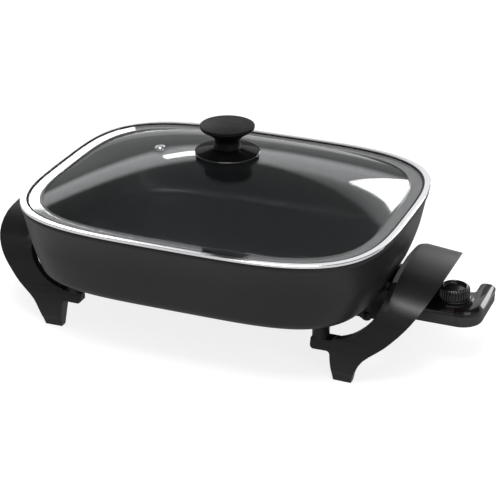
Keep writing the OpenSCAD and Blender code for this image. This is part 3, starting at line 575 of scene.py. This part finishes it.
def make_vent():
    """Rolled eyelet through the glass, square to the dome"""
    s = VENT_X / (RIM_X - DOME_IN)
    lean = math.atan(2 * (LID_RISE - GLASS_TOP) * s / (RIM_X - DOME_IN))
    bore, neck, under = VENT_BORE_R, VENT_NECK_R, -GLASS_THICK - 0.3
    flange = [(2.3, 3.0), (3.0, 3.3), (4.2, 3.1), (5.2, 2.5), (5.5, 2.0), (5.2, 1.6), (4.0, 1.5),
              (3.0, 1.2)]
    clinch = [(4.2, under), (4.2, under - 0.6), (bore, under - 0.6)]
    profile = [(bore, 2.4)] + flange + [(neck, 0.6), (neck, under)] + clinch
    loops = []
    for r, h in profile + profile[:1]:
        loops.append([(x * math.cos(lean) - h * math.sin(lean) - VENT_X, y,
                       x * math.sin(lean) + h * math.cos(lean) + RIM_Z + dome_z(s))
                      for x, y, z in ring(r, 0, 64)])
    eyelet = skin("steam_eyelet", loops, closed=True, m=ring_steel)
    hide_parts("steam_vent")
    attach(eyelet, "lid")


make_lid()
make_knob()
make_vent()

# ---- dial ----

def dial_loop(r, rib, z):
    """Round of ribs that reach out to radius rib, over lands of radius r"""
    shape = (0, 0, 0, 0.75, 1, 1, 1, 0.75)
    n = DIAL_RIBS * len(shape)
    out = []
    for i in range(n):
        a, reach = 2 * math.pi * (i - 4.5) / n, r + (rib - r) * shape[i % len(shape)]
        out.append((DIAL_X + reach * math.cos(a), reach * math.sin(a), DIAL_Z + z))
    return out


def make_dial():
    """Smooth foot, ribbed side and dished top: lands, ribs and height of each loop"""
    r, h = DIAL_R, DIAL_HIGH
    foot = [(r - 0.4, r - 0.4, 0), (r + 0.3, r + 0.3, 0.4), (r + 0.4, r + 0.4, 0.9),
            (r + 0.2, r + 0.2, 1.4), (r - 0.4, r - 0.4, 1.7)]
    side = [(r - 1.4, r - 1.2, 1.8), (r - 1.5, r - 0.3, 2.1), (r - 1.5, r - 0.2, 3),
            (r - 2.3, r - 0.85, h - 2.2), (r - 2.5, r - 1.25, h - 1.6),
            (r - 2.7, r - 2.3, h - 1.0), (r - 3.1, r - 3.0, h - 0.3)]
    top = [(r - 3.6, r - 3.6, h), (r - 4.4, r - 4.4, h), (r - 4.8, r - 4.8, h - 0.35),
           (r - 5.0, r - 5.0, h - 2.2), (r - 5.5, r - 5.5, h - 2.7), (0.01, 0.01, h - 2.7)]
    wheel = skin("ribbed_dial", [dial_loop(*s) for s in foot + side + top], m=dial_black)
    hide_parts("control_dial")
    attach(wheel, "dial")


make_dial()

# ---- pan, handles and heat control ----

body_of = {n: b for b, ns in frame["record"]["behaviour"]["bodies"].items() for n in ns}

for name, node, edge, m, crease in (
        ("cast_pan", "pan", 0, coat, 32),
        ("right_arched_handle", "right_handle", 1.2, handle_black, 14),
        ("left_arched_handle", "left_handle", 1.2, handle_black, 14),
        ("terminal_shroud", "terminal_guard", 0.5, handle_black, 32),
        ("lower_shell", "control_base", 0.4, base_grey, 32),
        ("upper_shell", "control_cover", 0.6, cover_black, 20),
        ("pilot_lens", "indicator_lens", 0.3, smoked_lens, 20),
        ("cord_bushing", "cord_gland", 0.3, rubber, 32)):
    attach(dressed(name, node, edge, m, crease), body_of[node])


def pan_inside(c, out):
    """Faces of the pan's floor and walls that look inwards, below the rim"""
    wall = -out.x * math.copysign((abs(c.x) / RIM_X) ** 3, c.x) \
        - out.y * math.copysign((abs(c.y) / RIM_Y) ** 3, c.y)
    return c.z > RIM_Z - PAN_DEPTH + 1 and (wall > 0.05 or out.z > 0.8) and c.z < RIM_Z - 0.5


def grip_bevel(side):
    """Faces of the flat bevel along a grip's inner edge, on the side +1 or -1, which get the
    painted sheen
    """
    lean = math.sin(math.radians(GRIP_BEVEL_TILT))
    return lambda c, out: (abs(side * out.x + lean) < 0.035 and out.z > 0.3
                           and side * c.x > GRIP_BEVEL_X and abs(c.y) < GRIP_BEVEL_Y)


# the grips' inner bevels get a much lighter colour than the handle: a painted sheen
patch(bpy.data.objects["right_arched_handle"], bevel_painted_sheen, grip_bevel(1))
patch(bpy.data.objects["left_arched_handle"], bevel_painted_sheen, grip_bevel(-1))
patch(bpy.data.objects["cast_pan"], coat_inside, pan_inside)

# The solids keep their own shape where no piece above replaces them
node_finish = {
    "pan": coat, "heating_element": element_steel, "terminal_pins": screw_steel,
    "pin_insulators": ceramic, "terminal_guard": handle_black, "guard_screws": dark_steel,
    "right_handle": handle_black, "left_handle": handle_black,
    "right_handle_screws": screw_steel, "left_handle_screws": screw_steel,
    "right_handle_washers": screw_steel, "left_handle_washers": screw_steel,
    "lid_ring": ring_steel, "lid_glass": glass, "steam_vent": ring_steel,
    "knob_gasket": silicone, "knob_skirt": skirt_black, "lid_knob": knob_black,
    "knob_washer": screw_steel, "knob_screw": screw_steel, "plug_block": handle_black,
    "contact_sockets": brass, "probe_rod": ring_steel, "thermostat_bracket": screw_steel,
    "switch_blades": brass, "control_base": base_grey, "control_cover": cover_black,
    "control_screws": screw_steel, "indicator_lens": smoked_lens, "indicator_lamp": glass,
    "cord_gland": rubber, "dial_shaft": screw_steel, "control_dial": dial_black}
for name, m in node_finish.items():
    cad[name].data.materials.clear()
    cad[name].data.materials.append(m)
